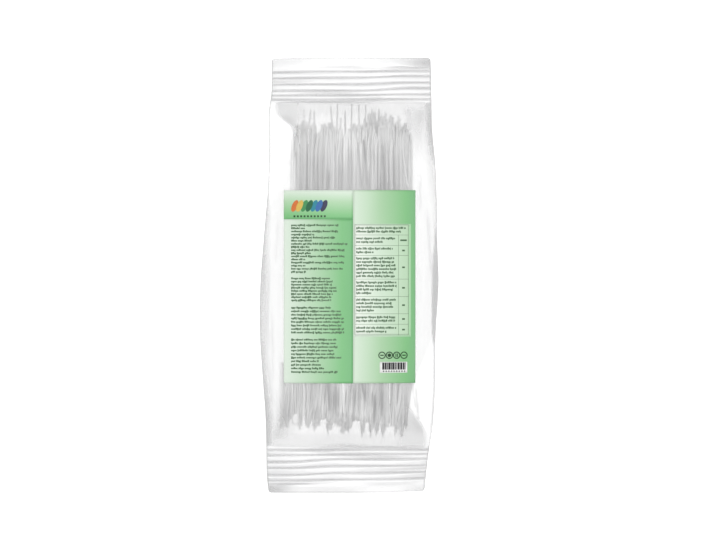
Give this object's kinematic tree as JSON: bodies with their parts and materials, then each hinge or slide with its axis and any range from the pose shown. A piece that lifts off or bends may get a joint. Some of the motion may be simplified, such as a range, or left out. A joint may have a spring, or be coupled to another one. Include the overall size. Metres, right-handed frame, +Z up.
{
  "type": "bagged bundle of mung bean noodles",
  "caption": "Clear pillow bag with crimped end seals, filled by a bundle of straight dried mung bean noodles, with a green label on its front.",
  "frame": {"origin": "on the surface that the bag lies on, under the middle of the bag", "axes": "+Z up through the label, +Y along the bag towards its top seal, +X to the right of the label"},
  "size_m": [0.1438, 0.35, 0.032],
  "materials": {
    "film": "clear glossy film, slightly milky, seen over pale noodles",
    "noodles": "dry, pale, a little see-through, satin",
    "label": "coated paper printed in pale to mid green"
  },
  "bodies": {
    "root": {"bag": "film", "label": "label"}
  },
  "joints": []
}
